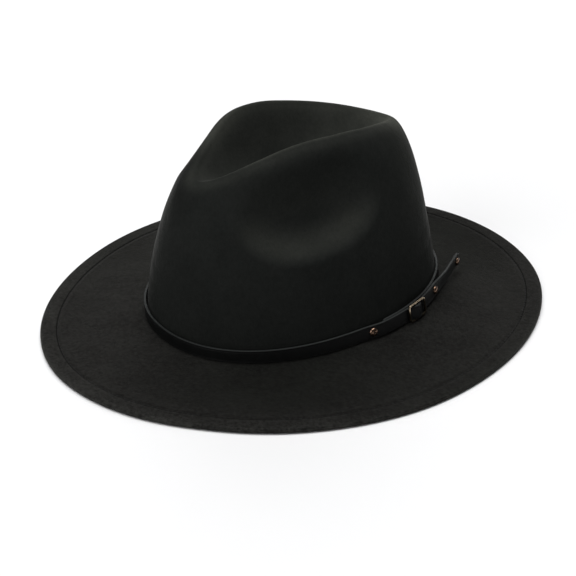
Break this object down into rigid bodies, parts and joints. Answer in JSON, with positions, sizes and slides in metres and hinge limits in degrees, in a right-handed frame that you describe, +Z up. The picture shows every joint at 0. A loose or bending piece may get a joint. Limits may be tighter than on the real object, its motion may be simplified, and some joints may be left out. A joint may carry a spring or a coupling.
{
  "type": "fedora hat",
  "caption": "Wide-brimmed black felt fedora: pinched teardrop crown, flat stitched brim, and a narrow leather belt with a wire buckle and free tail.",
  "frame": {"origin": "centre of the hat's outline seen from above, on the surface that the brim rests on", "axes": "+Z up through the crown, front of the hat towards -Y, the wearer's left towards +X"},
  "size_m": [0.3132, 0.36, 0.1371],
  "materials": {
    "felt": "matte black wool felt with a short soft nap",
    "belt_leather": "smooth black leather, half gloss, paler worn edge",
    "bronze": "antique bronze, polished high spots"
  },
  "bodies": {
    "root": {"crown": "felt", "brim": "felt", "hat_belt": "belt_leather", "buckle": "bronze", "rivet_1": "bronze", "rivet_2": "bronze", "rivet_3": "bronze"}
  },
  "joints": []
}
